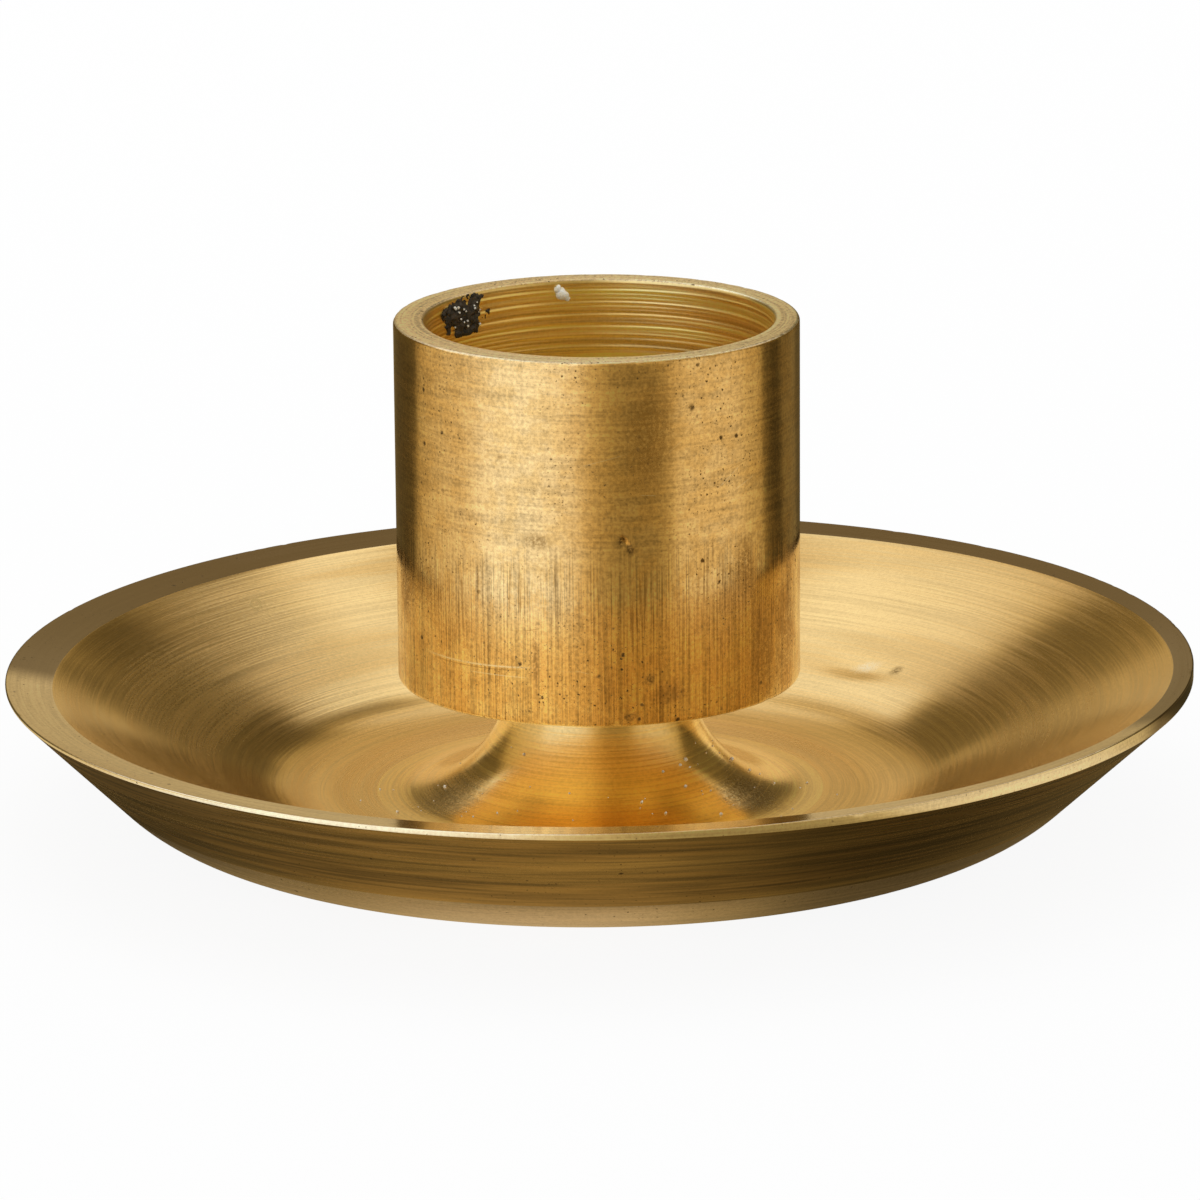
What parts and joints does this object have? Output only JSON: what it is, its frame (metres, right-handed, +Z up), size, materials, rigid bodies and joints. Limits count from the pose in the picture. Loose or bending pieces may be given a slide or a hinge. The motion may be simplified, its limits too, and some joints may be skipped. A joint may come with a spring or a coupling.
{
  "type": "candle holder",
  "caption": "Small round brass candle holder: a plain straight cup for a household candle, screwed down on the coved neck of a shallow dished drip tray.",
  "frame": {"origin": "on the table, under the middle of the tray's foot", "axes": "+Z up along the turning axis, through the neck and the candle's socket"},
  "size_m": [0.0768, 0.0768, 0.0328],
  "materials": {
    "tray_brass": "turned and brushed round the axis, worn, with tarnish outside",
    "cup_brass": "drawn bar with lengthwise lines, polished round the upper part, pitted and worn",
    "fastener_brass": "plain turned, dull"
  },
  "bodies": {
    "root": {"drip_tray": "tray_brass", "candle_cup": "cup_brass", "fixing_screw": "fastener_brass", "washer": "fastener_brass"}
  },
  "joints": []
}
